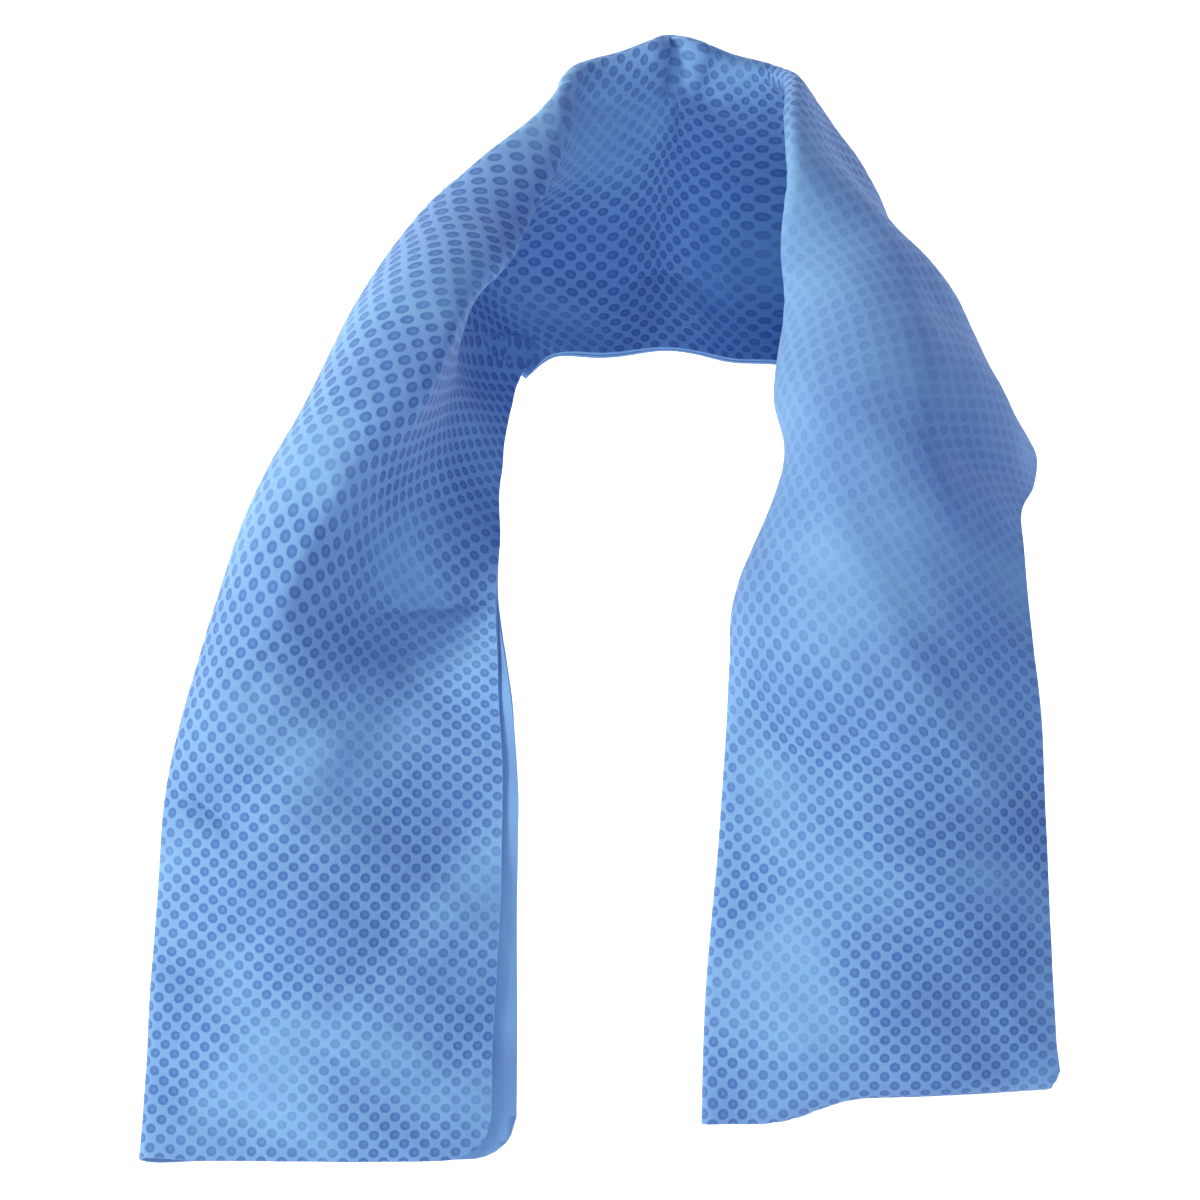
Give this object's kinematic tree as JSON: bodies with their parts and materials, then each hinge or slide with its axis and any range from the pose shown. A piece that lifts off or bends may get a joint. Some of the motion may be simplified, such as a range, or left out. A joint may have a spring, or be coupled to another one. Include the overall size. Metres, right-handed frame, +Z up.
{
  "type": "cooling towel",
  "caption": "Sponge-like cooling towel, folded in half lengthwise and shaped as worn: a collar behind the neck and two flat legs hanging in front.",
  "frame": {"origin": "the neck side of the cloth at the nape, where the towel bears on the neck", "axes": "+Z up along the neck, +X to the right as seen from the front, +Y to the back; both legs hang down in front, at -Y"},
  "size_m": [0.3953, 0.198, 0.4937],
  "materials": {
    "cooling_cloth": "matt sponge-like cloth with rows of small pressed dots"
  },
  "bodies": {
    "root": {"towel": "cooling_cloth"}
  },
  "joints": []
}
